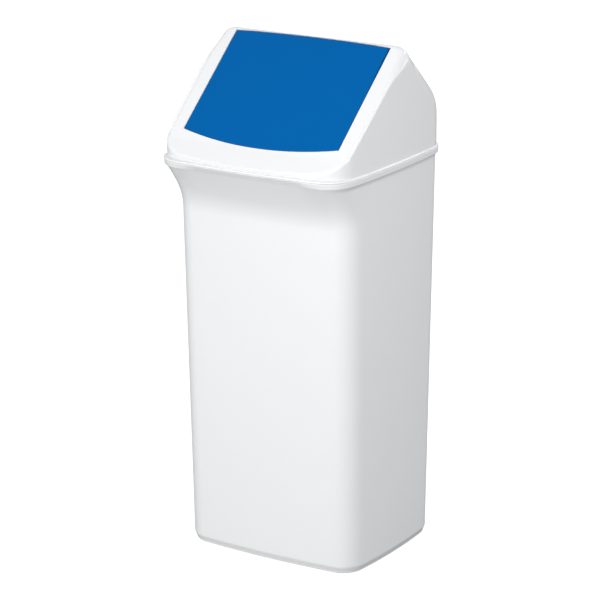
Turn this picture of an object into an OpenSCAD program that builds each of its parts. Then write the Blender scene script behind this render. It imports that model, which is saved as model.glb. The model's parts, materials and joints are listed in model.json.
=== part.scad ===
// Tall swing-lid waste bin: tapered tub with a flared front grip, lift-off hood
// and a sloping flap that a steel counterweight rod closes by itself.
// Millimetres. X runs left to right, the front faces -Y, Z is up.
// The origin is on the floor, under the middle of the tub's rim.

/* [Tub] */
// Width of the tub across its rim
rim_w = 316; // [250:1:380]
// Depth of the tub across its rim
rim_d = 310; // [250:1:372]
// Height of the tub's rim above the floor
rim_top = 587; // [440:1:710]
// Height of the band that the rim makes round the tub
rim_band = 8; // [6:0.5:14]
// How far the rim stands out from the side and back walls
rim_out = 5.5; // [4:0.5:8]
// How far the rim stands out from the top of the front flare
rim_out_front = 3; // [2:0.5:6]
// How far the band's sides lean in on their way down
rim_lean = 1.2; // [0.4:0.1:2]
// Corner radius of the rim in plan
rim_r = 36; // [24:1:50]
// Sagitta of the bowed side walls
side_bow = 6.5; // [2:0.5:10]
// Sagitta of the bowed front wall
front_bow = 7; // [2:0.5:10]
// Sagitta of the bowed back wall
back_bow = 5.6; // [2:0.2:10]
// Sagitta of the back edge of the rim and of the hood
rim_back_bow = 8.4; // [4:0.2:10]
// How far the front flares out for the grip
flare_out = 40; // [20:1:55]
// Height of the flare
flare_h = 70; // [50:1:90]
// Narrowing of each side from rim to foot
side_taper = 5; // [2:0.5:10]
// Narrowing of the front wall from flare to foot
front_taper = 10; // [4:0.5:16]
// Narrowing of the back wall from rim to foot
back_taper = 14; // [6:0.5:20]
// Wall thickness of the tub
tub_wall = 2.2; // [1.8:0.1:3]
// Thickness of the tub's floor
floor_t = 3; // [2:0.5:5]
// Height of the bevel round the foot
foot_h = 10; // [6:0.5:14]
// How far the bevel takes the foot in
foot_in = 3; // [2:0.5:5]
// Diameter of the anti-slip pads
pad_d = 22; // [14:1:30]
// How far the pads stand below the foot
pad_proud = 0.8; // [0.5:0.1:2]

/* [Hood] */
// Height above the rim where the hood's back wall and back slope would meet, before rounding
knee_rise = 57.4; // [48:0.1:69]
// Slope of the hood's front face from the horizontal
front_slope = 40.8; // [38:0.1:44]
// Slope of the hood's back face from the horizontal
back_slope = 41.7; // [38:0.1:46]
// How far the hood's wall stands in from the rim's edge
hood_in = 2.3; // [1.5:0.1:4]
// Sagitta of the hood's front edge in plan
hood_front_bow = 14; // [8:0.5:16]
// Corner radius of the hood in plan
hood_r = 38; // [26:1:50]
// Wall thickness of the hood
hood_wall = 2.2; // [1.8:0.1:3]
// Slope of the chin between the flap and the front edge
chin_slope = 35.4; // [32:0.1:38]
// Radius of the front edge of the chin
nose_r = 5; // [4:0.5:7]
// Radius of the bend where the chin leaves the front slope
chin_r = 60; // [20:5:80]
// Radius of the ridge
ridge_r = 10; // [8:0.5:16]
// Radius of the bend between back slope and back wall
knee_r = 70; // [40:1:80]
// Thickness of the flange that lies on the tub's rim
flange_t = 3; // [2:0.1:4]
// Depth of the spigot that drops into the tub's mouth
spigot_h = 8; // [6:0.5:12]
// Gap between the spigot and the tub's mouth
spigot_gap = 0.6; // [0.4:0.1:1.5]

/* [Flap] */
// Width of the flap
flap_w = 256; // [220:1:268]
// Length of the flap's straight sides, up the slope
flap_len = 181; // [150:1:183]
// Sagitta of the flap's lower edge
flap_sag = 16; // [8:0.5:18]
// Sagitta of the flap's upper edge
flap_top_bow = 4; // [0:0.5:6]
// Gap all round between flap and hood
flap_gap = 0.8; // [0.5:0.1:1.5]
// Depth of the skirt round the flap's edge
skirt_depth = 7.5; // [6:0.5:9]
// Thickness of the skirt
skirt_t = 2; // [1.5:0.1:2.5]
// Distance of the pivot axis below the flap's upper corners, down the slope
pivot_down = 66; // [58:1:80]
// Gap between the skirt and what passes under it
skirt_gap = 0.3; // [0.2:0.1:1]

/* [Flap mechanism] */
// Diameter of the pivot pins
pin_d = 8; // [6:0.5:8]
// Running clearance of a pin in its bush, on the radius
pin_clear = 0.05; // [0.02:0.01:0.1]
// Outer diameter of the bearing bushes
bush_d = 12; // [11:0.5:14]
// Length of a bearing block along the pivot axis
block_len = 14; // [10:1:15]
// Gap between the flap's edge and a bearing block
block_gap = 3; // [2:0.5:4]
// Diameter of the counterweight rod
rod_d = 12; // [10:0.5:14]
// Distance of the rod from the pivot axis, up the slope
rod_up = 27; // [20:1:32]
// Distance of the rod below the pivot axis, into the hood
rod_down = 30; // [26:1:34]
// Thickness of the inner frame's side plates
plate_t = 6; // [4:0.5:8]
// Width of the inner frame's rails
rail_w = 12; // [11:0.5:14]
// Depth of the inner frame's rails
rail_t = 8; // [6:0.5:8.5]
// Shank diameter of the screws
screw_d = 3; // [2.5:0.1:3.5]
// Diameter of the rubber stop buffers
buffer_d = 9; // [6:0.5:10]
// Gap left between a buffer and its tab when the flap is shut
buffer_gap = 0.3; // [0.2:0.1:0.6]

/* [Hidden] */
white = "#f2f3f5";
blue = "#0062aa";
true_fn = 48;             // facets of a true circle in the quick view
corner_steps = 8;         // segments in each rounded corner of a plan outline
side_steps = 6;           // segments in each bowed side of a plan outline
cut_extra = 1;            // how far a cutting tool runs past the face it cuts
bite = 0.5;               // how far a post or boss runs into the wall it stands on

// Tub heights and the hollow under its floor
band_z = rim_top - rim_band;
flare_z = band_z - flare_h;
foot_z = pad_proud + foot_h;
floor_z = pad_proud + floor_t;
hollow_in = foot_in + 8;              // the foot stands on a rim this far from the wall's foot

// Hood heights and slope frame
hood_z = rim_top + flange_t;          // top of the flange, foot of the hood's wall
hood_front = -rim_d / 2 + hood_in;
hood_back = rim_d / 2 - hood_in;
slope_foot_up = 1;                    // the front slope starts this far above the flange
slope_foot_in = 2.7;                  // and this far behind the hood's front edge
cut_reach = 30;                       // reach of the cut for the flap, either side of the slope
slope_y = hood_front + slope_foot_in;
slope_z = hood_z + slope_foot_up;
knee_z = rim_top + knee_rise;
ridge_y = (knee_z - slope_z + hood_back * tan(back_slope) + slope_y * tan(front_slope))
    / (tan(front_slope) + tan(back_slope));
ridge_z = slope_z + (ridge_y - slope_y) * tan(front_slope);

// Places up the slope, measured from where the slope starts
slope_len = (ridge_y - slope_y) / cos(front_slope);
flap_top = slope_len - 7.2;           // flap's upper corners, where the ridge begins to turn
flap_low = flap_top - flap_len;       // flap's lower corners
skirt_end = hood_wall + skirt_depth;
pivot_depth = skirt_end + skirt_gap + pin_d / 2;
pivot_t = flap_top - pivot_down;
rod_t = pivot_t + rod_up;
rod_depth = pivot_depth + rod_down;

// The chin starts just below the lowest point of the flap
chin_t = flap_low - flap_sag - 2;
chin_y = slope_y + chin_t * cos(front_slope);
chin_z = slope_z + chin_t * sin(front_slope);
nose_z = chin_z - (chin_y - hood_front) * tan(chin_slope);

// Places along the pivot axis, from the middle outwards
skirt_in = flap_w / 2 - skirt_t;
plate_out = skirt_in - 2;
plate_in = plate_out - plate_t;
block_in = flap_w / 2 + block_gap;
block_out = block_in + block_len;
pin_out = block_out - 1;
rod_out = plate_out + 3;

// Inner frame, screws, tabs and blocks
rail_edge = skirt_t + skirt_gap + rail_w / 2;
rail_low_t = flap_low + rail_edge;    // middle of the lower rail
rail_high_t = flap_top - rail_edge;   // middle of the upper rail
rail_bottom = hood_wall + rail_t;     // depth of the rails' inner face
screw_head_d = 2 * screw_d;
screw_head_h = 2;
hole_clear = 0.4;                     // a screw's or boss's hole is this much wider than it
head_t = 1.5;                         // thickness of a pivot pin's head
clip_t = 1.5;                         // thickness of a rod clip
boss_d = screw_d + 4;
boss_depth = rail_bottom - 2;         // depth that the flap's bosses reach
boss_x = 0.5 * plate_in;              // the screws stand at a quarter and three quarters
tab_t = flap_low + 22;                // middle of the stop tabs
tab_w = 16;                           // width of a tab, up the slope
tab_t_deep = 4;                       // thickness of a tab
tab_depth = skirt_end + skirt_gap;    // depth of the tabs' outer face
tab_out = flap_w / 2 + 14;
buffer_x = flap_w / 2 + 8;
block_half = 14;                      // half length of a bearing block, up the slope
lug_len = 13;                         // length of each lug of a block
lug_t = 4;                            // thickness of a lug
lug_depth = hood_wall + 9;            // depth of the lugs' outer face
lug_screw = block_half + 0.5 * lug_len;
block_mid = (block_in + block_out) / 2;
thread_depth = hood_wall + 1.5;       // screws end this deep, short of the outer face

// Interpolation, from a at k = 0 to b at k = 1
function mix(a, b, k) = a + (b - a) * k;

// Plan outline: a rounded rectangle whose four sides bow outwards.
// s = [half width, front y, back y, corner radius, side bow, front bow, back bow]
function plan(s) =
    let (a = s[0], mid = (s[1] + s[2]) / 2, b = (s[2] - s[1]) / 2, r = s[3])
    [for (c = [0:3]) each
        let (sx = [1, -1, -1, 1][c], sy = [1, 1, -1, -1][c],
             nx = [1, -1, -1, 1][(c + 1) % 4], ny = [1, 1, -1, -1][(c + 1) % 4])
        concat(
            [for (i = [0:corner_steps])
                let (t = 90 * (c + i / corner_steps))
                bow([sx * (a - r) + r * cos(t), sy * (b - r) + r * sin(t)], a, b, mid, s)],
            [for (i = [1:side_steps - 1])
                let (k = i / side_steps, t = 90 * (c + 1),
                     p = [sx * (a - r) + r * cos(t), sy * (b - r) + r * sin(t)],
                     q = [nx * (a - r) + r * cos(t), ny * (b - r) + r * sin(t)])
                bow(mix(p, q, k), a, b, mid, s)])];

// Moves a point of the straight-sided outline in, more towards the corners
function bow(p, a, b, mid, s) =
    [p[0] - sign(p[0]) * s[4] * pow(p[1] / b, 2) * abs(p[0]) / a,
     mid + p[1] - sign(p[1]) * (p[1] < 0 ? s[5] : s[6]) * pow(p[0] / a, 2) * abs(p[1]) / b];

// The same outline moved in by d
function inset(s, d) = [s[0] - d, s[1] + d, s[2] - d, s[3] - d, s[4], s[5], s[6]];

// Plan outlines of the rim, of its band's lower edge, of the tub's mouth, of the hood's wall
// and of the tub at height z
rim_plan = [rim_w / 2, -rim_d / 2, rim_d / 2, rim_r, side_bow, front_bow, rim_back_bow];
band_plan = [rim_w / 2 - rim_lean, -rim_d / 2 + rim_out_front - 0.5, rim_d / 2 - rim_lean,
             rim_r - rim_lean, side_bow, front_bow, rim_back_bow];
mouth_in = rim_out + tub_wall;
mouth_plan = [rim_w / 2 - mouth_in, -rim_d / 2 + rim_out_front + tub_wall,
              rim_d / 2 - mouth_in, rim_r - mouth_in, side_bow, front_bow, back_bow];
hood_plan = [rim_w / 2 - hood_in, hood_front, hood_back, hood_r,
             side_bow, hood_front_bow, rim_back_bow];

// How far the flare brings the front out at height z: a quarter of a sine wave
function flare(z) = z <= flare_z ? 0 :
    (flare_out - rim_out_front) * (1 - sin(90 * min(1, (band_z - z) / flare_h)));

function tub_plan(z) =
    let (k = (band_z - z) / (band_z - foot_z))
    [rim_w / 2 - rim_out - side_taper * k,
     -rim_d / 2 + flare_out + front_taper * k - flare(z),
     rim_d / 2 - rim_out - back_taper * k,
     rim_r - rim_out, side_bow, front_bow, back_bow];

// A ring of points: outline s at height z
function ring(s, z) = [for (p = plan(s)) [p[0], p[1], z]];

// Closed solid through rings of equally many points, from the lowest to the highest
module loft(rings) {
    n = len(rings[0]);
    m = len(rings);
    sides = [for (j = [0:m - 2], i = [0:n - 1]) each
        [[j * n + i, (j + 1) * n + i, j * n + (i + 1) % n],
         [j * n + (i + 1) % n, (j + 1) * n + i, (j + 1) * n + (i + 1) % n]]];
    polyhedron([for (r = rings) each r],
        concat([[for (i = [0:n - 1]) i]], sides, [[for (i = [n - 1:-1:0]) (m - 1) * n + i]]));
}

// Polygon corners rounded with arcs: p = corners, r = a radius for each, n = segments in an arc
function rounded(p, r, n = 8) =
    [for (i = [0:len(p) - 1])
        let (a = p[(i + len(p) - 1) % len(p)], b = p[i], c = p[(i + 1) % len(p)],
             u = (a - b) / norm(a - b), v = (c - b) / norm(c - b),
             half = acos(u * v) / 2, m = (u + v) / norm(u + v),
             o = b + m * r[i] / sin(half),
             from = b + u * r[i] / tan(half), to = b + v * r[i] / tan(half),
             t0 = atan2(from[1] - o[1], from[0] - o[0]),
             turn = atan2(to[1] - o[1], to[0] - o[0]) - t0,
             sweep = turn > 180 ? turn - 360 : turn < -180 ? turn + 360 : turn)
        if (r[i] <= 0) b
        else each [for (k = [0:n]) o + r[i] * [cos(t0 + sweep * k / n), sin(t0 + sweep * k / n)]]];

// Anticlockwise polygon moved in by d
function moved_in(p, d) =
    [for (i = [0:len(p) - 1])
        let (a = p[(i + len(p) - 1) % len(p)], b = p[i], c = p[(i + 1) % len(p)],
             u = (b - a) / norm(b - a), v = (c - b) / norm(c - b),
             n1 = [-u[1], u[0]], n2 = [-v[1], v[0]])
        b + (n1 + n2) * d / (1 + n1 * n2)];

// Side view of the hood, y against z, moved in by d; its foot is at height low
function hood_profile(d, low) =
    let (corners = [[hood_front, low], [hood_back, low], [hood_back, knee_z],
                    [ridge_y, ridge_z], [chin_y, chin_z], [hood_front, nose_z]],
         p = moved_in(corners, d))
    rounded([[p[0][0], low], [p[1][0], low], p[2], p[3], p[4], p[5]],
            [0, 0, knee_r - d, ridge_r - d, chin_r - d, nose_r - d], 12);

// Solid of the hood's outer surface, moved in by d and reaching down to low
module hood_solid(d, low) {
    intersection() {
        translate([0, 0, low]) linear_extrude(ridge_z - low) polygon(plan(inset(hood_plan, d)));
        rotate([90, 0, 90]) translate([0, 0, -rim_w / 2]) linear_extrude(rim_w)
            polygon(hood_profile(d, low));
    }
}

// Puts its children in the slope's frame: x across, y up the slope, z outwards
module on_slope() {
    translate([0, slope_y, slope_z]) rotate([front_slope, 0, 0]) children();
}

// Cylinder along x in the slope's frame, centred on distance t and depth d, from x0 to x1
module slope_rod(t, d, x0, x1, dia) {
    on_slope() translate([x0, t, -d]) rotate([0, 90, 0]) cylinder(d = dia, h = x1 - x0, $fn = true_fn);
}

// Cylinder at right angles to the slope, from depth d0 to the deeper d1
module slope_post(x, t, d0, d1, dia) {
    on_slope() translate([x, t, -d1]) cylinder(d = dia, h = d1 - d0, $fn = true_fn);
}

// Block in the slope's frame, from depth d0 to the deeper d1
module slope_block(x0, x1, t0, t1, d0, d1) {
    on_slope() translate([x0, t0, -d1]) cube([x1 - x0, t1 - t0, d1 - d0]);
}

// Flap outline on the slope, made larger by g; both ends are shallow arcs
function end_arc(w, t, sag, n = 16) =
    [for (k = [0:n]) let (u = 2 * k / n - 1) [u * w / 2, t + sag * (1 - u * u)]];
function flap_outline(g) =
    let (upper = end_arc(flap_w + 2 * g, flap_top + g, flap_top_bow),
         lower = end_arc(flap_w + 2 * g, flap_low - g, -flap_sag))
    concat(lower, [for (i = [len(upper) - 1:-1:0]) upper[i]]);

// Whatever is drawn for the right side, drawn for the left
module left_side() { mirror([1, 0, 0]) children(); }
module both_sides() { children(); left_side() children(); }

// Tub: tapered, bowed walls, a flared front under the rim, a rim band and a bevelled foot
module bin_body() {
    edge = 1.2;
    walls = [for (k = [0:5]) mix(foot_z, flare_z, k / 5)];
    flares = [for (k = [1:9]) mix(flare_z, band_z, k / 9)];
    outer = concat(
        [ring(inset(tub_plan(foot_z), foot_in + edge), pad_proud),
         ring(inset(tub_plan(foot_z), foot_in), pad_proud + edge)],
        [for (z = concat(walls, flares)) ring(tub_plan(z), z)],
        [ring(band_plan, band_z), ring(rim_plan, rim_top - edge), ring(inset(rim_plan, edge), rim_top)]);
    inner = concat(
        [ring(inset(tub_plan(foot_z), foot_in + tub_wall), floor_z),
         ring(inset(tub_plan(foot_z), foot_in + tub_wall), foot_z + tub_wall)],
        [for (z = concat([foot_z + tub_wall + 0.5], [for (k = [1:5]) walls[k]], flares))
            ring(inset(tub_plan(z), tub_wall), z)],
        [ring(mouth_plan, band_z + cut_extra), ring(mouth_plan, rim_top + cut_extra)]);
    hollow = inset(tub_plan(foot_z), hollow_in);
    color(white) difference() {
        loft(outer);
        loft(inner);
        loft([ring(hollow, -cut_extra), ring(hollow, 2 * pad_proud)]);
    }
}

// Four rubber pads in the hollow under the floor
module foot_pads() {
    corner = inset(tub_plan(foot_z), hollow_in + pad_d);
    color("#55585c") for (x = [-1, 1], y = [corner[1], corner[2]])
        translate([x * corner[0], y, 0]) cylinder(d = pad_d, h = 2 * pad_proud, $fn = true_fn);
}

// Hood: a gabled shell on a flange, with the flap's opening in its front slope
module hood_shell() {
    spigot = inset(mouth_plan, spigot_gap);
    spigot_z = rim_top - spigot_h;
    color(white) difference() {
        union() {
            hood_solid(0, rim_top);
            translate([0, 0, rim_top]) linear_extrude(flange_t) polygon(plan(inset(rim_plan, 0.4)));
            translate([0, 0, spigot_z]) linear_extrude(spigot_h + 1) polygon(plan(spigot));
        }
        hood_solid(hood_wall, hood_z);
        translate([0, 0, spigot_z - cut_extra]) linear_extrude(spigot_h + flange_t + 2 * cut_extra)
            polygon(plan(inset(spigot, hood_wall)));
        on_slope() translate([0, 0, -cut_reach]) linear_extrude(2 * cut_reach)
            polygon(flap_outline(flap_gap));
    }
    color(white) both_sides() for (s = [-1, 1]) difference() {
        slope_post(block_mid, pivot_t + s * lug_screw, hood_wall - bite, lug_depth, boss_d);
        slope_post(block_mid, pivot_t + s * lug_screw, thread_depth, lug_depth + cut_extra, screw_d);
    }
}

// Flap: the piece of the hood's surface that fills the opening, with a skirt and screw bosses
module flap_panel() {
    color(blue) {
        intersection() {
            difference() {
                hood_solid(0, hood_z);
                hood_solid(hood_wall, hood_z - cut_extra);
            }
            on_slope() translate([0, 0, -skirt_end]) linear_extrude(skirt_end + cut_extra)
                polygon(flap_outline(0));
        }
        on_slope() translate([0, 0, -skirt_end]) linear_extrude(skirt_depth + bite) difference() {
            polygon(flap_outline(0));
            polygon(flap_outline(-skirt_t));
        }
        for (x = [-boss_x, boss_x], t = [rail_low_t, rail_high_t]) difference() {
            slope_post(x, t, hood_wall - bite, boss_depth, boss_d);
            slope_post(x, t, thread_depth, boss_depth + cut_extra, screw_d);
        }
    }
}

// Inner frame: two rails and two side plates that carry the pivots, the rod and the stop tabs
module flap_inner_frame() {
    color("#dfe2e6") difference() {
        union() {
            for (t = [rail_low_t, rail_high_t])
                slope_block(-plate_in - bite, plate_in + bite, t - rail_w / 2, t + rail_w / 2,
                            hood_wall, rail_bottom);
            both_sides() {
                slope_block(plate_in, plate_out, rail_low_t - rail_w / 2, rail_high_t + rail_w / 2,
                            hood_wall, rail_bottom);
                pivot_plate();
                slope_block(plate_in, tab_out, tab_t - tab_w / 2, tab_t + tab_w / 2,
                            tab_depth, tab_depth + tab_t_deep);
                slope_block(plate_in, plate_out, tab_t - tab_w / 2, tab_t + tab_w / 2,
                            rail_bottom - bite, tab_depth + tab_t_deep);
            }
        }
        for (x = [-boss_x, boss_x], t = [rail_low_t, rail_high_t]) {
            slope_post(x, t, hood_wall - cut_extra, boss_depth, boss_d + hole_clear);
            slope_post(x, t, hood_wall, rail_bottom + cut_extra, screw_d + hole_clear);
        }
        both_sides() {
            slope_rod(pivot_t, pivot_depth, plate_in - cut_extra, plate_out + cut_extra, pin_d);
            slope_rod(rod_t, rod_depth, plate_in - cut_extra, plate_out + cut_extra, rod_d);
        }
    }
}

// Side plate from the rail past the pivot to the rod, with round ends
module pivot_plate() {
    wide = max(pin_d, rod_d) + 10;        // width of the plate's round ends
    on_slope() translate([plate_in, 0, 0]) rotate([90, 0, 90]) linear_extrude(plate_t) difference() {
        union() {
            translate([rod_t, -rod_depth]) circle(d = wide, $fn = true_fn);
            translate([pivot_t, -pivot_depth]) circle(d = wide, $fn = true_fn);
            polygon([[pivot_t - 1.5 * wide, -hood_wall], [pivot_t - wide / 2, -pivot_depth - 4],
                     [rod_t - wide / 2, -rod_depth], [rod_t + wide / 2, -rod_depth],
                     [rod_t + 0.7 * wide, -hood_wall]]);
        }
        translate([pivot_t - 2 * wide, -hood_wall]) square([4 * wide + rod_up, cut_reach]);
    }
}

// Pivot pin with a thin head, pressed into the side plate
module pivot_pin() {
    color("#b9bdc2") {
        slope_rod(pivot_t, pivot_depth, plate_in, pin_out, pin_d);
        slope_rod(pivot_t, pivot_depth, plate_in - head_t, plate_in, pin_d + 4);
    }
}

// Acetal bush in the bearing block; the pin turns in it
module bearing_bush() {
    color("#e9e6da") difference() {
        slope_rod(pivot_t, pivot_depth, block_in, block_out, bush_d);
        slope_rod(pivot_t, pivot_depth, block_in - cut_extra, block_out + cut_extra,
                  pin_d + 2 * pin_clear);
    }
}

// Bearing block screwed under the hood's side strip by a lug at each end
module bearing_block() {
    top = hood_wall + 3;                      // depths of the block's outer and inner faces
    bottom = pivot_depth + bush_d / 2 + 5;
    color("#d5d8dc") difference() {
        union() {
            slope_block(block_in, block_out, pivot_t - block_half, pivot_t + block_half, top, bottom);
            slope_block(block_in, block_out, pivot_t - block_half - lug_len, pivot_t + block_half + lug_len,
                        lug_depth, lug_depth + lug_t);
        }
        slope_rod(pivot_t, pivot_depth, block_in - cut_extra, block_out + cut_extra, bush_d);
        for (s = [-1, 1])
            slope_post(block_mid, pivot_t + s * lug_screw, lug_depth - cut_extra,
                       lug_depth + lug_t + cut_extra, screw_d + hole_clear);
    }
}

// Pan-head screw whose head lies at depth d
module screw(x, t, d, end) {
    slope_post(x, t, end, d, screw_d);
    slope_post(x, t, d, d + screw_head_h, screw_head_d);
}

// Four screws that hold the bearing blocks
module block_screws() {
    color("#b9bdc2") both_sides() for (s = [-1, 1])
        screw(block_mid, pivot_t + s * lug_screw, lug_depth + lug_t, thread_depth);
}

// Four screws that hold the inner frame to the flap
module frame_screws() {
    color("#b9bdc2") for (x = [-boss_x, boss_x], t = [rail_low_t, rail_high_t])
        screw(x, t, rail_bottom, thread_depth);
}

// Steel rod whose weight shuts the flap
module counterweight_rod() {
    color("#9da2a8") slope_rod(rod_t, rod_depth, -rod_out, rod_out, rod_d);
}

// Push-on clip that keeps the rod from sliding out of the side plate
module rod_clip() {
    color("#c8ccd0") difference() {
        slope_rod(rod_t, rod_depth, plate_out, plate_out + clip_t, rod_d + 7);
        slope_rod(rod_t, rod_depth, plate_out - cut_extra, plate_out + clip_t + cut_extra, rod_d);
    }
}

// Rubber buffer under the hood's side strip, where the flap's tab comes to rest
module stop_buffer() {
    color("#3a3c3f") slope_post(buffer_x, tab_t, hood_wall, tab_depth - buffer_gap, buffer_d);
}

bin_body();
foot_pads();
hood_shell();
flap_panel();
flap_inner_frame();
left_side() pivot_pin();  // pivot_pin_left
pivot_pin();  // pivot_pin_right
left_side() bearing_bush();  // bearing_bush_left
bearing_bush();  // bearing_bush_right
left_side() bearing_block();  // bearing_block_left
bearing_block();  // bearing_block_right
block_screws();
frame_screws();
counterweight_rod();
left_side() rod_clip();  // rod_clip_left
rod_clip();  // rod_clip_right
left_side() stop_buffer();  // stop_buffer_left
stop_buffer();  // stop_buffer_right
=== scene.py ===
import json
import bmesh
import bpy
import numpy as np
from mathutils import Matrix, Vector


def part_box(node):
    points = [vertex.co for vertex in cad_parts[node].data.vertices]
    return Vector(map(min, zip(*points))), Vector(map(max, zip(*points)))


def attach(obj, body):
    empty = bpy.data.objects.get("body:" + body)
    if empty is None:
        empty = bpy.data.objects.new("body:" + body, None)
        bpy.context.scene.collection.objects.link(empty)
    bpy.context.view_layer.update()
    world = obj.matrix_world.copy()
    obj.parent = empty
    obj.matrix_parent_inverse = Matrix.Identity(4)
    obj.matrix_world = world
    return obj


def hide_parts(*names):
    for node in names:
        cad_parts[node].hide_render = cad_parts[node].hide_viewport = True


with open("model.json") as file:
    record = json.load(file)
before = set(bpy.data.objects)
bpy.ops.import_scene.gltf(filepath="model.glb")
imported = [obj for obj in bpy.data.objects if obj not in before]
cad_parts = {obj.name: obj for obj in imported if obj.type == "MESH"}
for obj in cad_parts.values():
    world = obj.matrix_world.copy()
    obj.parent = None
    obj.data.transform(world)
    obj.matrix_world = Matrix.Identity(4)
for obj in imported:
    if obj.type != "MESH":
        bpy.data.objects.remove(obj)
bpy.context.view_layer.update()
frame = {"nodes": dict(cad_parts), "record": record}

print("frame loaded:", len(frame["nodes"]), "nodes")


def cadMm(node):
    # lowest and highest corner of a CAD node, in millimetres
    return [np.array(corner) * 1000 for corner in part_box(node)]


tubLow, tubHigh = cadMm("bin_body")


def smoothStep(x, low, high):
    # 0 below low, 1 above high, and the cubic 3k^2 - 2k^3 between
    k = np.clip((x - low) / (high - low), 0, 1)
    return k * k * (3 - 2 * k)


def softMax(a, b, width):
    # the larger of two distances, with a parabola of that width where they are nearly equal
    return np.maximum(a, b) + np.maximum(width - abs(a - b), 0) ** 2 / (4 * width)


def roundMax(a, b, radius):
    # two square faces meeting in an arc: the larger distance, or the distance from the arc's centre
    inside = np.minimum(np.maximum(a, b), -radius)
    return inside + np.hypot(np.maximum(a + radius, 0), np.maximum(b + radius, 0))


def bisect(distance, low, high, steps=36):
    # the parameter between low and high where distance changes sign, for a whole array at once
    low, high = np.array(low, float), np.array(high, float)
    for _ in range(steps):
        middle = (low + high) / 2
        outside = distance(middle) > 0
        high = np.where(outside, middle, high)
        low = np.where(outside, low, middle)
    return (low + high) / 2


def makeMesh(name, points, faces):
    mesh = bpy.data.meshes.new(name)
    mesh.from_pydata((points * 0.001).tolist(), [], faces.tolist())
    mesh.update()
    mesh.shade_smooth()
    piece = bpy.data.objects.new(name, mesh)
    bpy.context.scene.collection.objects.link(piece)
    return piece


def gridFaces(rows, columns, closedRows):
    # Quads of a grid of points stored row by row. Each row closes on itself, and the last row may join
    # the first.
    j = np.arange(rows if closedRows else rows - 1)[:, None]
    i = np.arange(columns)[None, :]
    nextJ, nextI = (j + 1) % rows, (i + 1) % columns
    corners = [j * columns + i, j * columns + nextI, nextJ * columns + nextI, nextJ * columns + i]
    return np.stack([np.broadcast_to(c, (j.size, i.size)) for c in corners], -1).reshape(-1, 4)


def finishShape(piece, sharpAngle=40):
    # merges poles, points the faces outwards and marks the edges sharper than that angle in degrees
    work = bmesh.new()
    work.from_mesh(piece.data)
    bmesh.ops.remove_doubles(work, verts=work.verts, dist=1e-6)
    bmesh.ops.dissolve_degenerate(work, edges=work.edges, dist=1e-7)
    bmesh.ops.recalc_face_normals(work, faces=work.faces)
    if work.calc_volume(signed=True) < 0:
        bmesh.ops.reverse_faces(work, faces=work.faces)
    work.to_mesh(piece.data)
    work.free()
    piece.data.shade_smooth()
    piece.data.set_sharp_from_angle(angle=np.radians(sharpAngle))
    return piece


def planRing(halfWidth, front, back, radius, bows, cornerSteps=14, sideSteps=26):
    # Rounded rectangle whose sides bow outwards. The sizes may be columns, one row for each ring.
    # A side's point moves in by its bow times the square of its distance from the side's middle.
    sideBow, frontBow, backBow = bows
    signX, signY = np.array([1, -1, -1, 1, 1]), np.array([1, 1, -1, -1, 1])
    turn, u, v = [], [], []
    for corner in range(4):
        arc = np.arange(cornerSteps + 1) / cornerSteps
        side = np.arange(1, sideSteps) / sideSteps
        turn += [90 * (corner + arc), np.full(side.size, 90 * (corner + 1))]
        u += [np.full(arc.size, signX[corner]), signX[corner] + (signX[corner + 1] - signX[corner]) * side]
        v += [np.full(arc.size, signY[corner]), signY[corner] + (signY[corner + 1] - signY[corner]) * side]
    turn, u, v = np.radians(np.concatenate(turn)), np.concatenate(u), np.concatenate(v)
    middle, half = (front + back) / 2, (back - front) / 2
    x = u * (halfWidth - radius) + radius * np.cos(turn)
    y = v * (half - radius) + radius * np.sin(turn)
    bowY = np.where(y < 0, frontBow, backBow)
    newX = x - np.sign(x) * sideBow * (y / half) ** 2 * abs(x) / halfWidth
    newY = middle + y - np.sign(y) * bowY * (x / halfWidth) ** 2 * abs(y) / half
    return np.stack([newX, newY], -1)


def ringAtAngles(ring, angles):
    # the points of a closed ring at the given angles about the origin, by interpolating its radius
    ringAngle = np.arctan2(ring[:, 1], ring[:, 0])
    order = np.argsort(ringAngle)
    radius = np.interp(angles, ringAngle[order], np.hypot(ring[:, 0], ring[:, 1])[order], period=2 * np.pi)
    return np.stack([radius * np.cos(angles), radius * np.sin(angles)], -1)


# The tub, in millimetres. Bows are for the sides, the front and the back. An ease holds how far outside a
# recess's line it starts (negative) and how far inside the line it is full. An edge is a list of pairs, how
# far in and how far down. The seam is the height left free where one run of rings meets the next.
tub = {
    "rimBand": 8.0, "rimLean": 0.7, "rimLeanFront": 2.7, "rimOut": 5.5, "rimOutFront": 3.0,
    "rimRadius": 36.0, "rimRound": 0.7, "frontIn": 1.1, "bandFootIn": 0.5, "seam": 0.6,
    "rimEdge": ((0.12, 0.25), (0.4, 0.0)), "mouthEdge": ((-1.2, 0.0), (-0.3, 0.3), (0.0, 1.2)),
    "swell": 3.9, "swellHigh": 7.0, "swellPower": 1.8, "swellBow": 0.9,
    "bows": (6.5, 7.0, 5.6), "rimBows": (6.5, 7.0, 8.4), "flareOut": 40.0, "flareHigh": 70.0,
    "sideTaper": 5.0, "frontTaper": 10.0, "backTaper": 14.0, "mouthFrontIn": 3.1,
    "wall": 2.2, "floor": 3.0, "floorRound": 3.0, "floorIn": 7, "floorStart": 5,
    "footHigh": 10.0, "footIn": 3.0, "footRound": 2.6, "footPower": 1.25,
    "baseIn": (8, 9, 11), "baseRise": 0.8,
    "leanHalf": 140.0, "leanDeep": 1.3, "leanEase": (-6, 40),
    "gripHalf": 97.0, "gripLow": 34.0, "gripDeep": 3.0, "gripEase": (-3, 4), "gripPower": 1.5,
}
rimTop, footBase = tubHigh[2], tubLow[2]
bandLow = rimTop - tub["rimBand"]
footTop = footBase + tub["footHigh"]
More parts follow.
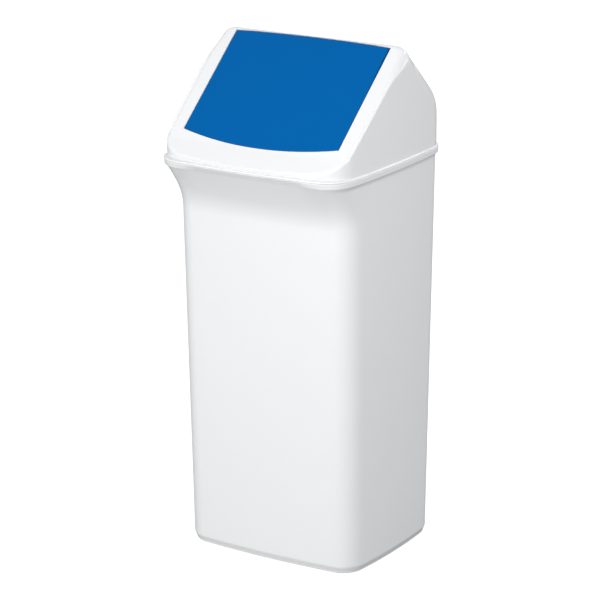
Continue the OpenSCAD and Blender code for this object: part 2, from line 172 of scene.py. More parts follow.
# A ring's sizes are its half width, front, back and corner radius, and inwards is the way each one shrinks.
inwards = np.array([-1, 1, -1, -1])
rimSizes = np.array([tubHigh[0], tubLow[1], tubHigh[1], tub["rimRadius"]])
mouthIn = tub["rimOut"] + tub["wall"]
mouthFront = tubLow[1] + tub["rimOutFront"] + tub["wall"] + tub["mouthFrontIn"]
mouthSizes = np.array([tubHigh[0] - mouthIn, mouthFront, tubHigh[1] - mouthIn, tub["rimRadius"] - mouthIn])


def tubSizes(z):
    # Sizes of the tub's wall at height z: each tapers in a straight line, and the front flares out under the
    # band by one less the sine of a quarter turn.
    k = (bandLow - z) / (bandLow - footTop)
    sweep = np.clip((bandLow - z) / tub["flareHigh"], 0, 1)
    flare = (tub["flareOut"] - tub["rimOutFront"]) * (1 - np.sin(np.pi / 2 * sweep))
    return np.stack([tubHigh[0] - tub["rimOut"] - tub["sideTaper"] * k,
                     tubLow[1] + tub["flareOut"] + tub["frontTaper"] * k - flare,
                     tubHigh[1] - tub["rimOut"] - tub["backTaper"] * k,
                     np.full_like(z, tub["rimRadius"] - tub["rimOut"])], -1)


def makeTub():
    # A section carried round the plan: each station is a ring, given by its sizes, bows and height.
    lean = np.array([tub["rimLean"], tub["rimLeanFront"], tub["rimLean"], tub["rimLean"]])
    notFront = np.array([1, 0, 1, 1])
    seam = tub["seam"]
    step = tubSizes(np.array([footTop]))[0]
    foot = step + tub["footIn"] * inwards
    stations = []

    def add(sizes, z, pull=0.0, rimShare=0.0):
        # pull draws a ring in towards its middle, and rimShare blends the walls' bows into the rim's
        sizes, z = np.atleast_2d(sizes), np.atleast_1d(z)
        rows = max(len(sizes), len(z))
        columns = (sizes, np.reshape(z, (-1, 1)), np.full((rows, 1), pull), np.reshape(rimShare, (-1, 1)))
        stations.append(np.hstack([np.broadcast_to(part, (rows,) + np.shape(part)[1:]) for part in columns]))

    # the underside, a little above the ring that the bin stands on
    standIn, baseEdge, baseIn = tub["baseIn"]
    for pull in (1.0, 0.6, 0.3):
        add(foot + baseIn * inwards, footBase + tub["baseRise"], pull)
    add(foot + baseEdge * inwards, footBase + tub["baseRise"])
    add(foot + standIn * inwards, footBase)
    # a quarter circle up from the ground, then the bevel, easing into the upright wall
    quarter = np.radians(np.linspace(0, 90, 7))
    footRound = tub["footRound"]
    add(foot + np.outer(footRound * (1 - np.sin(quarter)), inwards),
        footBase + footRound * (1 - np.cos(quarter)))
    bevel = np.linspace(0, 1, 12)
    add(foot - np.outer(tub["footIn"] * (1 - (1 - bevel) ** tub["footPower"]), inwards),
        footBase + footRound + seam + (footTop - footBase - footRound) * bevel)
    # the walls, with closer rows over the flare; just under the rim the sides and back swell softly out
    wallLow, wallHigh, denseLow = footTop + seam + 0.8, bandLow - seam, bandLow - tub["flareHigh"] - 2
    walls = np.concatenate([np.linspace(wallLow, denseLow - 4, 24), np.linspace(denseLow, wallHigh, 80)])
    swelling = np.clip(1 - (bandLow - walls) / tub["swellHigh"], 0, 1) ** tub["swellPower"]
    outer = tubSizes(walls) - (tub["swell"] * swelling)[:, None] * inwards * notFront
    add(outer, walls, rimShare=tub["swellBow"] * swelling)
    # the band, leaning out as it rises
    add(rimSizes + (lean + tub["bandFootIn"] * notFront) * inwards, bandLow, rimShare=1.0)
    rise = np.linspace(0.06, 1, 8)
    top = rimSizes + [0, tub["frontIn"], 0, 0]
    leanIn = lean - [0, tub["frontIn"], 0, 0]
    bandTop = rimTop - tub["rimRound"]
    add(top + np.outer(1 - rise, leanIn * inwards), bandLow + (bandTop - bandLow) * rise, rimShare=1.0)
    # over the rim and into the mouth
    for inset, down in tub["rimEdge"]:
        add(top + inset * inwards, rimTop - down, rimShare=1.0)
    for inset, down in tub["mouthEdge"]:
        add(mouthSizes + inset * inwards, rimTop - down)
    add(mouthSizes, bandLow + seam)
    # down the inside, and in over the floor
    inner = walls[::-1]
    inner = inner[inner > footTop + tub["wall"] + 1]
    add(tubSizes(inner) + tub["wall"] * inwards, inner)
    add(step + (tub["wall"] + seam) * inwards, footTop + 1.0)
    add(foot + tub["wall"] * inwards, footTop - tub["floorStart"])
    floorTop, floorRound = footBase + tub["floor"], tub["floorRound"]
    add(foot + np.outer(tub["wall"] + floorRound * (1 - np.cos(quarter)), inwards),
        floorTop + floorRound * (1 - np.sin(quarter)))
    for pull in (0.3, 0.6, 1.0):
        add(foot + tub["floorIn"] * inwards, floorTop, pull)
    rows = np.vstack(stations)
    sizes, z, pull, rimShare = rows[:, :4], rows[:, 4], rows[:, 5], rows[:, [6]]
    bows = np.array(tub["bows"]) + rimShare * (np.array(tub["rimBows"]) - tub["bows"])
    ring = planRing(*[sizes[:, [k]] for k in range(4)], [bows[:, [k]] for k in range(3)])
    centre = np.stack([np.zeros_like(z), (sizes[:, 1] + sizes[:, 2]) / 2], -1)[:, None, :]
    ring = centre + (ring - centre) * (1 - pull)[:, None, None]
    points = np.dstack([ring, np.broadcast_to(z[:, None], ring.shape[:2])])
    # The front of the band leans in, and a finger recess runs on from it under the rim: both grow down
    # the band in a straight line and fade out below it, and each has its own width.
    drop = bandLow - points[..., 2]
    fade = np.clip((points[..., 2] - bandLow + tub["gripLow"]) / tub["gripLow"], 0, 1)
    upBand = np.clip((bandTop - points[..., 2]) / (bandTop - bandLow), 0, 1)
    along = np.where(drop > 0, fade ** tub["gripPower"], upBand)
    recess = smoothStep(tub["gripHalf"] - abs(points[..., 0]), *tub["gripEase"])
    frontLean = smoothStep(tub["leanHalf"] - abs(points[..., 0]), *tub["leanEase"])
    beforeMouth = (np.arange(len(rows)) < np.argmax(z))[:, None] | (points[..., 2] < bandLow)
    push = tub["gripDeep"] * recess + tub["leanDeep"] * frontLean
    points[..., 1] += push * along * (points[..., 1] < 0) * beforeMouth
    faces = gridFaces(len(rows), ring.shape[1], closedRows=False)
    return finishShape(makeMesh("tubShell", points.reshape(-1, 3), faces))


tubShell = makeTub()
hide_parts("bin_body")
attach(tubShell, "tub")
print("tub made:", len(tubShell.data.polygons), "faces")

# The hood and the flap that is cut from its surface, in millimetres and degrees. A zone holds where a change
# starts and where it is full: below the ridge, above the wall's foot, along y, or (for the groove) towards
# the front. The walls are traced from the middle, in a fan centred fanHigh of the way up the flap. The open
# edge is pairs: how far out and how deep. A row of the fillet is its share of the way to the bead's edge,
# its height, and how much of the groove it takes.
hood = {
    "wall": 2.2, "flange": 3.0, "inset": 2.3, "radius": 38.0, "bows": (6.5, 14.0, 8.4),
    "frontSlope": 40.8, "backSlope": 41.7, "chinSlope": 33.6, "chinGap": 2.7, "kneeRise": 57.4,
    "slopeIn": 2.7, "slopeUp": 1.0, "ridgeSoft": 10.0, "chinSoft": 0.6, "noseSoft": 1.6,
    "frontEdgeSoft": 1.8, "ridgeEdgeSoft": 15.0, "backEdgeSoft": 26.0, "cornerSoft": 4.0,
    "ridgeZone": (60, 8), "footZone": (8, 34), "backZone": (-10, 60), "sideZone": 40,
    "cheekWide": 7.5, "cheekLip": 3.4, "cheekDeep": 2.6, "lipShare": 0.8, "groove": 0.8,
    "undercut": 0.36, "undercutHigh": 5.0, "spigot": 8.0, "spigotGap": 0.6, "spigotRound": (0.7, 0.5),
    "openEdge": ((0.7, 0.0), (0.4, 0.08), (0.15, 0.28), (0.0, 0.7)), "filletStart": 1.0,
    "fillet": ((0.08, 0.81, 0.7), (0.2, 0.27, 1.0), (0.45, 0.09, 0.0), (0.75, 0.018, 0.0)),
    "flangeIn": 0.1, "beadRound": 1.7, "flangeLean": 1.1, "grooveZone": (60, 130),
    "middle": (0.0, 8.0, 598.0), "fanHigh": 0.42, "outerRows": 200, "innerRows": 70,
}
flap = {
    "width": 256.0, "length": 179.8, "sag": 16.0, "topBow": 4.0, "belowRidge": 7.7,
    "gap": 0.8, "gapTop": 0.3, "gapLess": 0.3, "trimTop": 1.5, "gapZone": (60, 8),
    "wall": 2.2, "skirt": 7.5, "skirtWall": 2.0, "skirtRound": 0.4,
    "edgeRound": 0.9, "topRound": 3.0, "topZone": (22, 2), "edgeTurns": (12, 25, 40, 55, 70, 90),
    "rows": 26,
}
wallZ = rimTop + hood["flange"]
hoodHalf = tubHigh[0] - hood["inset"]
hoodFront, hoodBack = tubLow[1] + hood["inset"], tubHigh[1] - hood["inset"]
slopeY, slopeZ = hoodFront + hood["slopeIn"], wallZ + hood["slopeUp"]
slopeSin, slopeCos = np.sin(np.radians(hood["frontSlope"])), np.cos(np.radians(hood["frontSlope"]))
slopeUp = np.array([0, slopeCos, slopeSin])         # along the slope
slopeOut = np.array([0, -slopeSin, slopeCos])       # square to it, outwards
tanFront, tanBack = np.tan(np.radians(hood["frontSlope"])), np.tan(np.radians(hood["backSlope"]))
kneeZ = rimTop + hood["kneeRise"]
ridgeY = (kneeZ - slopeZ + hoodBack * tanBack + slopeY * tanFront) / (tanFront + tanBack)
ridgeZ = slopeZ + (ridgeY - slopeY) * tanFront
flapTop = (ridgeY - slopeY) / slopeCos - flap["belowRidge"]
flapBottom = flapTop - flap["length"]
chinT = flapBottom - flap["sag"] - hood["chinGap"]
chinY, chinZ = slopeY + chinT * slopeCos, slopeZ + chinT * slopeSin


def hoodDistance(p):
    # Roughly the distance outside the hood's outer surface: bowed walls with round corners, under a roof
    # of three planes (chin, front slope and back slope), all joined by soft edges.
    x, y, z = p[..., 0], p[..., 1], p[..., 2]
    half = (hoodBack - hoodFront) / 2
    sideBow, frontBow, backBow = hood["bows"]
    side = abs(x) + sideBow * (y / half) ** 2 * abs(x) / hoodHalf - hoodHalf
    front = hoodFront - y + frontBow * (x / hoodHalf) ** 2 * abs(y) / half
    back = y - hoodBack + backBow * (x / hoodHalf) ** 2 * abs(y) / half
    front = front + hood["undercut"] * np.clip(wallZ + hood["undercutHigh"] - z, 0, hood["undercutHigh"])
    walls = roundMax(side, np.maximum(front, back), hood["radius"])
    chinAngle, backAngle = np.radians(hood["chinSlope"]), np.radians(hood["backSlope"])
    slope = (y - slopeY) * slopeOut[1] + (z - slopeZ) * slopeOut[2]
    chin = -(y - chinY) * np.sin(chinAngle) + (z - chinZ) * np.cos(chinAngle)
    rear = (y - ridgeY) * np.sin(backAngle) + (z - ridgeZ) * np.cos(backAngle)
    roof = softMax(-softMax(-slope, -chin, hood["chinSoft"]), rear, hood["ridgeSoft"])
    # along the sides the roof first turns down a little, then lifts to a fine lip at a tight edge
    backLow, backHigh = hood["backZone"]
    nearRidge = smoothStep(z, *(ridgeZ - np.array(hood["ridgeZone"])))
    toSides = smoothStep(side - front, -hood["sideZone"], 0)
    inward = hood["cheekWide"] + side
    cheek = smoothStep(inward, 0, hood["cheekWide"] - hood["cheekLip"])
    lip = smoothStep(side, -hood["cheekLip"], 0)
    lowDown = 1 - smoothStep(z, *(wallZ + np.array(hood["footZone"])))
    fade = (1 - nearRidge) * (1 - lowDown) * toSides * (y < backHigh)
    roof = roof + hood["cheekDeep"] * (cheek - hood["lipShare"] * lip) * fade
    # the walls' edge with the roof: its softness by place
    edgeSoft = (hood["frontEdgeSoft"] + (hood["ridgeEdgeSoft"] - hood["frontEdgeSoft"]) * nearRidge
                + (hood["cornerSoft"] - hood["frontEdgeSoft"]) * lowDown)
    frontSoft = hood["noseSoft"] + (edgeSoft - hood["noseSoft"]) * toSides
    soft = frontSoft + (hood["backEdgeSoft"] - frontSoft) * smoothStep(y, backLow, backHigh)
    return softMax(walls, roof, soft)


def onSlope(across, up):
    # the point of the front slope's plane that is so far across and up it
    return np.array([0, slopeY, slopeZ]) + across[..., None] * [1, 0, 0] + up[..., None] * slopeUp


def onHood(across, up, depth):
    # The point of the hood's surface over (across, up) on the slope, then moved in by depth. It lies
    # between 25 mm under the slope and 12 mm over it.
    base = onSlope(across, up)
    lift = bisect(lambda h: hoodDistance(base + h[..., None] * slopeOut),
                  np.full(across.shape, -25.0), np.full(across.shape, 12.0))
    return base + (lift - depth)[..., None] * slopeOut


def flapLoop(grow, sideSteps=72):
    # Flap outline on the slope, grown by grow: an arc below, a straight side, an arc above, a straight side.
    # The arcs are parabolas, and points crowd towards the corners as a cosine does.
    k = (1 - np.cos(np.pi * np.arange(sideSteps) / sideSteps)) / 2
    u, one, half, tall = 2 * k - 1, np.ones(sideSteps), flap["width"] / 2, flap["length"]
    outAcross, outUp = np.concatenate([u, one, -u, -one]), np.concatenate([-one, u, one, -u])
    up = np.concatenate([flapBottom - flap["sag"] * (1 - u * u), flapBottom + tall * k,
                         flapTop + flap["topBow"] * (1 - u * u), flapTop - tall * k])
    return outAcross * (half + grow), up + outUp * grow


# the plain outline, where it runs along the right side, both sides and the top, and how far up a side it is
flapAcross, flapUp = flapLoop(0)
onRight = flapAcross > flap["width"] / 2 - 0.01
onSides = abs(flapAcross) > flap["width"] / 2 - 0.01
onTop = flapUp > flapTop - 0.01
sideShare = smoothStep(flapUp, flapBottom + flap["gapZone"][0], flapTop - flap["gapZone"][1])


def makeHood():
    # Every station is a closed loop with one point for each point of the flap's outline. The stations run
    # from the opening over the outer surface to the flange, round the spigot and back up the inside.
    # The gap round the flap opens a little up its sides and is finer along its top.
    gap = flap["gap"] + onSides * flap["gapTop"] * sideShare - flap["gapLess"] * onTop
    opening = [onHood(*flapLoop(gap + out), depth) for out, depth in hood["openEdge"]]
    openingIn = onHood(*flapLoop(gap), hood["wall"])
    # each point of the outline keeps one angle about the plan, all the way down to the spigot
    middle = np.array(hood["middle"])
    across, up = flapLoop(gap)
    angles = np.arctan2((up - flapBottom - hood["fanHigh"] * flap["length"]) * slopeCos, across)
    dense = dict(cornerSteps=60, sideSteps=90)

    def outline(sizes, bows, z):
        ring = ringAtAngles(planRing(*sizes, bows, **dense), angles)
        return np.column_stack([ring, np.full(len(ring), z)])

    def skin(start, inset, lowZ, steps, farOut=400.0):
        # From the loop start down to the wall's foot: directions from the middle turn evenly from one to
        # the other, and each point lies where its direction leaves the hood's surface.
        direction0 = (start - middle) / np.linalg.norm(start - middle, axis=1)[:, None]
        level = np.column_stack([np.cos(angles), np.sin(angles), np.zeros(len(angles))])
        foot = np.array([0.0, 0.0, lowZ])
        reach = bisect(lambda s: hoodDistance(foot + s[:, None] * level) + inset,
                       np.zeros(len(angles)), np.full(len(angles), farOut))
        end = foot + reach[:, None] * level
        direction1 = (end - middle) / np.linalg.norm(end - middle, axis=1)[:, None]
        angle = np.arccos(np.clip((direction0 * direction1).sum(1), -1, 1))
        k = np.linspace(0, 1, steps)[:, None]
        turned = (np.sin((1 - k) * angle)[..., None] * direction0
                  + np.sin(k * angle)[..., None] * direction1)
        turned /= np.linalg.norm(turned, axis=-1)[..., None]
        distance = bisect(lambda s: hoodDistance(middle + s[..., None] * turned) + inset,
                          np.zeros(turned.shape[:2]), np.full(turned.shape[:2], farOut))
        return middle + distance[..., None] * turned

    outer = skin(opening[0], 0.0, wallZ + hood["filletStart"], hood["outerRows"])
    inner = skin(openingIn, hood["wall"], wallZ, hood["innerRows"])
    loops = [openingIn] + opening[::-1] + list(outer[1:])
    wallFoot = outer[-1].copy()
    flange = rimSizes + hood["flangeIn"] * inwards
    bead = hood["beadRound"]
    beadEdge = outline(flange + bead * inwards, tub["rimBows"], wallZ)
    # A fillet from the wall to the bead's top, which is a fine groove along the front, then the bead's
    # quarter circle down to its outer edge.
    alongFront = smoothStep(-wallFoot[:, 1], *hood["grooveZone"])
    for share, rise, cut in hood["fillet"]:
        level = wallFoot + (beadEdge - wallFoot) * (share * (1 - cut * alongFront))[:, None]
        level[:, 1] += hood["groove"] * cut * alongFront
        level[:, 2] = wallZ + rise
        loops.append(level)
    for turn in np.radians(np.linspace(0, 90, 9)):
        loops.append(outline(flange + bead * (1 - np.sin(turn)) * inwards, tub["rimBows"],
                             wallZ - bead * (1 - np.cos(turn))))
    # the flange's underside, whose front leans in towards the tub, then the spigot down and back up
    under = flange + np.array([0, hood["flangeLean"], 0, 0])
    loops += [outline(under + 0.06 * inwards, tub["rimBows"], rimTop + 0.12),
              outline(under + 0.35 * inwards, tub["rimBows"], rimTop + 0.02)]
    spigot, lowZ = mouthSizes + hood["spigotGap"] * inwards, rimTop - hood["spigot"]
    outerRound, innerRound = hood["spigotRound"]
    for shrink, z in ((0, rimTop + 0.02), (0, lowZ + outerRound), (outerRound, lowZ),
                      (hood["wall"] - innerRound, lowZ), (hood["wall"], lowZ + innerRound),
                      (hood["wall"], wallZ - 0.5)):
        loops.append(outline(spigot + shrink * inwards, tub["bows"], z))
    loops += list(inner[::-1][:-1])
    points = np.array(loops)
    faces = gridFaces(len(loops), len(across), closedRows=True)
    return finishShape(makeMesh("hoodShell", points.reshape(-1, 3), faces))


hoodShell = makeHood()
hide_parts("hood_shell")
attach(hoodShell, "hood")
print("hood made:", len(hoodShell.data.polygons), "faces")


def makeFlap():
    # The outline shrinks towards its middle on the outer surface, turns over the edge, runs down the skirt
    # and back up it, and shrinks again on the inner surface.
    middle = flapBottom + flap["length"] / 2
    loops = []
    shares = np.sin(np.linspace(0, np.pi / 2, flap["rows"]))
    # the top edge is rounded more than the rest
    nearTop = smoothStep(flapUp, flapTop - flap["topZone"][0], flapTop - flap["topZone"][1])
    edge = flap["edgeRound"] + (flap["topRound"] - flap["edgeRound"]) * nearTop
    # its play on the pins opens the gap on one side, towards the top
    trim = flap["trimTop"] * onRight * sideShare
    flatAcross, flatUp = flapLoop(-edge - trim)
    innerAcross, innerUp = flapLoop(-flap["skirtWall"] - trim)
    for share in shares:
        loops.append(onHood(flatAcross * share, middle + (flatUp - middle) * share, 0.0))
    for angle in np.radians(flap["edgeTurns"]):
        loops.append(onHood(*flapLoop(edge * (np.sin(angle) - 1) - trim), edge * (1 - np.cos(angle))))
    # the skirt ends square to the slope, at one depth below it
    skirtEnd, skirtWall, skirtRound = flap["wall"] + flap["skirt"], flap["skirtWall"], flap["skirtRound"]
    for shrink, depth in ((0, skirtEnd - skirtRound), (skirtRound, skirtEnd),
                          (skirtWall - skirtRound, skirtEnd), (skirtWall, skirtEnd - skirtRound)):
        loops.append(onSlope(*flapLoop(-shrink - trim)) - depth * slopeOut)
    for share in shares[::-1]:
        loops.append(onHood(innerAcross * share, middle + (innerUp - middle) * share, flap["wall"]))
    points = np.array(loops)
    faces = gridFaces(len(loops), points.shape[1], closedRows=False)
    return finishShape(makeMesh("flapPanel", points.reshape(-1, 3), faces))


flapPanel = makeFlap()
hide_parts("flap_panel")
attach(flapPanel, "flap")
print("flap made:", len(flapPanel.data.polygons), "faces")


# The camera, in metres and degrees, with its lens and sensor in millimetres.
view = {
    "azimuth": 33.35, "elevation": 16.74, "roll": -0.52, "distance": 3.939, "aimHeight": 0.373,
    "side": -0.0365, "rise": 0.0012, "lens": 163.8, "sensor": 36, "shiftX": 0.0372, "shiftY": -0.0087,
}


def makeCamera():
    # It stands back from the aim along its own axis, and moves a little sideways and up in its own plane.
    azimuth, elevation, roll = (np.radians(view[key]) for key in ("azimuth", "elevation", "roll"))
    back = np.array([np.sin(azimuth) * np.cos(elevation), -np.cos(azimuth) * np.cos(elevation),
                     np.sin(elevation)])
    right = np.array([np.cos(azimuth), np.sin(azimuth), 0])
    up = np.cross(back, right)
    aim = np.array([0, 0, view["aimHeight"]])
    place = aim + right * view["side"] + up * view["rise"] + back * view["distance"]
    rolledRight = right * np.cos(roll) + up * np.sin(roll)
    rolledUp = up * np.cos(roll) - right * np.sin(roll)
    data = bpy.data.cameras.new("camera")
    data.lens, data.sensor_width = view["lens"], view["sensor"]
    data.shift_x, data.shift_y = view["shiftX"], view["shiftY"]
    camera = bpy.data.objects.new("camera", data)
    bpy.context.scene.collection.objects.link(camera)
    matrix = Matrix.Identity(4)
    for row in range(3):
        matrix[row][0], matrix[row][1], matrix[row][2] = rolledRight[row], rolledUp[row], back[row]
        matrix[row][3] = place[row]
    camera.matrix_world = matrix
    bpy.context.scene.camera = camera


makeCamera()
print("camera made")


def socketGroup(name, inputs, outputs):
    # an empty shader group with named sockets; each input is (name, kind, value)
    group = bpy.data.node_groups.new(name, "ShaderNodeTree")
    for label, kind, value in inputs:
        socket = group.interface.new_socket(label, in_out="INPUT", socket_type="NodeSocket" + kind)
        socket.default_value = value
    for label, kind in outputs:
        group.interface.new_socket(label, in_out="OUTPUT", socket_type="NodeSocket" + kind)
    return group


class NodeKit:
    # short ways to add and join nodes in one tree
    def __init__(self, tree):
        self.tree = tree

    def feed(self, socket, value):
        if isinstance(value, bpy.types.NodeSocket):
            self.tree.links.new(value, socket)
        else:
            socket.default_value = value

    def add(self, kind, settings=None, **sockets):
        node = self.tree.nodes.new("ShaderNode" + kind)
        for key, value in (settings or {}).items():
            setattr(node, key, value)
        for key, value in sockets.items():
            self.feed(node.inputs[key.replace("_", " ")], value)
        return node

    def math(self, operation, a, b):
        node = self.tree.nodes.new("ShaderNodeMath")
        node.operation = operation
        for socket, value in zip(node.inputs, (a, b)):
            self.feed(socket, value)
        return node.outputs[0]

    def noise(self, vector, scale, detail=2.0, roughness=0.5):
        node = self.add("TexNoise", Vector=vector, Scale=scale, Detail=detail, Roughness=roughness)
        return node.outputs[0]

    def ramp(self, value, low, high, toLow=0.0, toHigh=1.0):
        # the value between low and high, carried to the range toLow to toHigh and held at its ends
        node = self.add("MapRange", {"interpolation_type": "SMOOTHSTEP"}, Value=value)
        for key, end in (("From Min", low), ("From Max", high), ("To Min", toLow), ("To Max", toHigh)):
            self.feed(node.inputs[key], end)
        return node.outputs[0]

    def blend(self, factor, a, b):
        # colour a where the factor is 0 and colour b where it is 1
        node = self.tree.nodes.new("ShaderNodeMix")
        node.data_type = "RGBA"
        self.feed(node.inputs[0], factor)
        self.feed(node.inputs[6], a)
        self.feed(node.inputs[7], b)
        return node.outputs[2]


def skinGroup():
    # Moulded plastic skin: fine spark-eroded grain, the slow waves of a moulded wall, and soft clouds
    # that vary the roughness. Sizes and heights are in metres, and the noises are taken about their middle.
    group = socketGroup("mouldedSkin",
                        [("Vector", "Vector", (0, 0, 0)), ("Grain size", "Float", 0.0006),
                         ("Grain depth", "Float", 0.00001), ("Wave size", "Float", 0.09),
                         ("Wave depth", "Float", 0.0001), ("Roughness", "Float", 0.3),
                         ("Roughness spread", "Float", 0.05), ("Cloud scale", "Float", 14.0)],
                        [("Height", "Float"), ("Roughness", "Float"), ("Cloud", "Float")])
    kit = NodeKit(group)
    inside = group.nodes.new("NodeGroupInput").outputs
    out = group.nodes.new("NodeGroupOutput").inputs
    grain = kit.noise(inside["Vector"], kit.math("DIVIDE", 1.0, inside["Grain size"]), 1.0)
    wave = kit.noise(inside["Vector"], kit.math("DIVIDE", 1.0, inside["Wave size"]), 1.0)
    cloud = kit.noise(inside["Vector"], inside["Cloud scale"], 3.0, 0.6)
    fine = kit.math("MULTIPLY", kit.math("SUBTRACT", grain, 0.5), inside["Grain depth"])
    slow = kit.math("MULTIPLY", kit.math("SUBTRACT", wave, 0.5), inside["Wave depth"])
    kit.feed(out["Height"], kit.math("ADD", fine, slow))
    spread = kit.math("MULTIPLY", kit.math("SUBTRACT", cloud, 0.5), inside["Roughness spread"])
    kit.feed(out["Roughness"], kit.math("ADD", inside["Roughness"], spread))
    kit.feed(out["Cloud"], cloud)
    return group


mouldedSkin = skinGroup()


def newMaterial(name, **sockets):
    # a material with its nodes' kit, its shader and its object coordinates
    material = bpy.data.materials.new(name)
    material.use_nodes = True
    kit = NodeKit(material.node_tree)
    shader = material.node_tree.nodes["Principled BSDF"]
    for key, value in sockets.items():
        shader.inputs[key.replace("_", " ")].default_value = value
    place = kit.add("TexCoord").outputs["Object"]
    return material, kit, shader, place


def placeGroup(kit, group, **values):
    # a group placed in a tree with its inputs fed
    node = kit.tree.nodes.new("ShaderNodeGroup")
    node.node_tree = group
    for key, value in values.items():
        kit.feed(node.inputs[key.replace("_", " ")], value)
    return node.outputs


def plasticFinish(name, settings):
    # moulded plastic in one colour, blended by the clouds with a slightly different one
    material, kit, shader, place = newMaterial(name, Specular_IOR_Level=settings["specular"])
    skin = placeGroup(kit, mouldedSkin, Vector=place, Grain_size=settings["grainSize"],
                      Grain_depth=settings["grainDepth"], Wave_size=settings["waveSize"],
                      Wave_depth=settings["waveDepth"], Roughness=settings["roughness"],
                      Roughness_spread=settings["roughnessSpread"])
    colour = kit.blend(skin["Cloud"], (*settings["colour"], 1), (*settings["cloud"], 1))
    kit.feed(shader.inputs["Base Color"], colour)
    kit.feed(shader.inputs["Roughness"], skin["Roughness"])
    bump = kit.add("Bump", Height=skin["Height"], Distance=1.0, Strength=1.0)
    kit.feed(shader.inputs["Normal"], bump.outputs[0])
    return material


# Colours are linear, and the grain's and waves' sizes and depths are in metres.
finishes = {
    "white": {"colour": (0.86, 0.864, 0.868), "cloud": (0.84, 0.845, 0.85), "specular": 0.5,
              "roughness": 0.25, "roughnessSpread": 0.04, "grainSize": 0.0012, "grainDepth": 0.000003,
              "waveSize": 0.12, "waveDepth": 0.00006},
    "blue": {"colour": (0.0, 0.117, 0.385), "cloud": (0.0, 0.11, 0.365), "specular": 0.03,
             "roughness": 0.3, "roughnessSpread": 0.04, "grainSize": 0.0012, "grainDepth": 0.000003,
             "waveSize": 0.12, "waveDepth": 0.00005},
    "grey": {"colour": (0.66, 0.67, 0.69), "cloud": (0.6, 0.61, 0.63), "specular": 0.5,
             "roughness": 0.45, "roughnessSpread": 0.1, "grainSize": 0.0008, "grainDepth": 0.00001,
             "waveSize": 0.05, "waveDepth": 0.00005},
    "bush": {"colour": (0.8, 0.77, 0.68), "cloud": (0.75, 0.71, 0.61), "specular": 0.5,
             "roughness": 0.38, "roughnessSpread": 0.08, "grainSize": 0.0005, "grainDepth": 0.000005,
             "waveSize": 0.02, "waveDepth": 0.00003},
    "rubber": {"colour": (0.035, 0.036, 0.04), "cloud": (0.05, 0.05, 0.054), "specular": 0.3,
               "roughness": 0.75, "roughnessSpread": 0.15, "grainSize": 0.0009, "grainDepth": 0.00003,
               "waveSize": 0.02, "waveDepth": 0.00002},
}


steel = {"colour": (0.5, 0.51, 0.53), "cloud": (0.62, 0.63, 0.65), "cloudScale": 60.0,
         "lineScale": (3000.0, 60.0, 60.0), "lineDepth": 0.000004, "smooth": 0.24, "rough": 0.38}


def steelFinish(name):
    # drawn and turned steel: fine lines round the axis that lies along x
    material, kit, shader, place = newMaterial(name, Metallic=1.0)
    stretched = kit.add("Mapping", Vector=place, Scale=steel["lineScale"]).outputs[0]
    lines = kit.noise(stretched, 1.0, 2.0)
    cloud = kit.noise(place, steel["cloudScale"], 3.0)
    colour = kit.blend(cloud, (*steel["colour"], 1), (*steel["cloud"], 1))
    kit.feed(shader.inputs["Base Color"], colour)
    kit.feed(shader.inputs["Roughness"], kit.ramp(lines, 0.3, 0.7, steel["smooth"], steel["rough"]))
    height = kit.math("MULTIPLY", lines, steel["lineDepth"])
    bump = kit.add("Bump", Height=height, Distance=1.0, Strength=1.0)
    kit.feed(shader.inputs["Normal"], bump.outputs[0])
    return material


finishOf = {"white_plastic": plasticFinish("whitePlastic", finishes["white"]),
            "blue_plastic": plasticFinish("bluePlastic", finishes["blue"]),
            "grey_plastic": plasticFinish("greyPlastic", finishes["grey"]),
            "bush_plastic": plasticFinish("bushPlastic", finishes["bush"]),
            "pad_rubber": plasticFinish("padRubber", finishes["rubber"]),
            "steel": steelFinish("turnedSteel")}
slotOf = ((tubShell, "white_plastic"), (hoodShell, "white_plastic"), (flapPanel, "blue_plastic"))
for piece, slotName in slotOf:
    piece.data.materials.append(finishOf[slotName])
for subpart in frame["record"]["subparts"]:
    for holder in frame["nodes"][subpart["node"]].material_slots:
        holder.material = finishOf[subpart["material_slot"]]
print("finishes made:", len(finishOf))

# The world's strength at the horizon and overhead, the floor, and the softboxes: each one's watts, place,
# size and tint. Places and sizes are in metres.
studio = {
    "worldLow": 0.75, "worldHigh": 0.61, "worldTint": (0.955, 0.97, 1.0),
    "floorHalf": 30, "floorPaint": 0.32, "floorFleck": 0.01, "fleckScale": 400.0, "floorGlow": 0.9,
    "key": (41.0, (-0.8, -2.9, 0.95), (1.8, 1.6), (1, 0.995, 0.975)),
    "side": (9.0, (1.1, -1.05, 1.2), (0.8, 0.8), (1, 1, 1)),
    "back": (10.0, (0.9, 2.4, 2.0), (1.4, 0.12), (1, 1, 1)),
    "edge": (5.0, (1.75, 1.6, 0.95), (1.0, 0.12), (1, 1, 1)),
    "aim": (0, 0, 0.5),
}


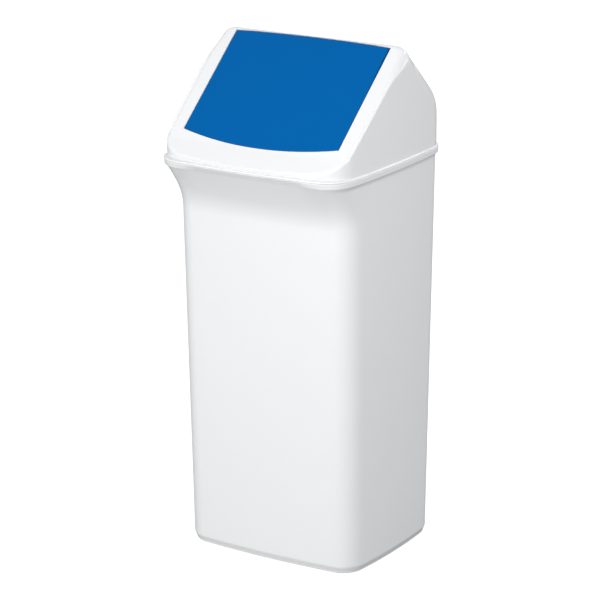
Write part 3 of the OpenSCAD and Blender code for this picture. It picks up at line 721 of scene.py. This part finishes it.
def softbox(name, power, place, size, tint):
    # a rectangular light that faces the studio's aim
    light = bpy.data.lights.new(name, "AREA")
    light.shape, light.energy, light.color = "RECTANGLE", power, tint
    light.size, light.size_y = size
    lamp = bpy.data.objects.new(name, light)
    bpy.context.scene.collection.objects.link(lamp)
    lamp.location = place
    towards = Vector(studio["aim"]) - Vector(place)
    lamp.rotation_mode = "QUATERNION"
    lamp.rotation_quaternion = towards.to_track_quat("-Z", "Y")


def makeStudio():
    mesh = bpy.data.meshes.new("floor")
    corners = [(signX * studio["floorHalf"], signY * studio["floorHalf"], 0)
               for signX, signY in ((-1, -1), (1, -1), (1, 1), (-1, 1))]
    mesh.from_pydata(corners, [], [(0, 1, 2, 3)])
    floor = bpy.data.objects.new("floor", mesh)
    bpy.context.scene.collection.objects.link(floor)
    paint, kit, shader, place = newMaterial("floorPaint", Roughness=0.9, Specular_IOR_Level=0.1,
                                            Emission_Color=(1, 1, 1, 1))
    speck = kit.noise(place, studio["fleckScale"], 2.0)
    levels = (studio["floorPaint"], studio["floorPaint"] + studio["floorFleck"])
    kit.feed(shader.inputs["Base Color"], kit.blend(speck, *[(level, level, level, 1) for level in levels]))
    # the glow whitens the floor for the camera only, so it lights nothing
    seen = kit.add("LightPath").outputs["Is Camera Ray"]
    kit.feed(shader.inputs["Emission Strength"], kit.math("MULTIPLY", seen, studio["floorGlow"]))
    mesh.materials.append(paint)
    # pale all round, a little dimmer overhead
    world = bpy.data.worlds.new("studio")
    bpy.context.scene.world = world
    world.use_nodes = True
    kit = NodeKit(world.node_tree)
    background = world.node_tree.nodes["Background"]
    background.inputs["Color"].default_value = (*studio["worldTint"], 1)
    upwards = kit.add("SeparateXYZ", Vector=kit.add("TexCoord").outputs["Generated"]).outputs["Z"]
    strength = kit.ramp(upwards, 0.0, 1.0, studio["worldLow"], studio["worldHigh"])
    kit.feed(background.inputs["Strength"], strength)
    for name in ("key", "side", "back", "edge"):
        softbox(name + "Box", *studio[name])
    bpy.context.scene.view_settings.view_transform = "Standard"


makeStudio()
print("studio made")
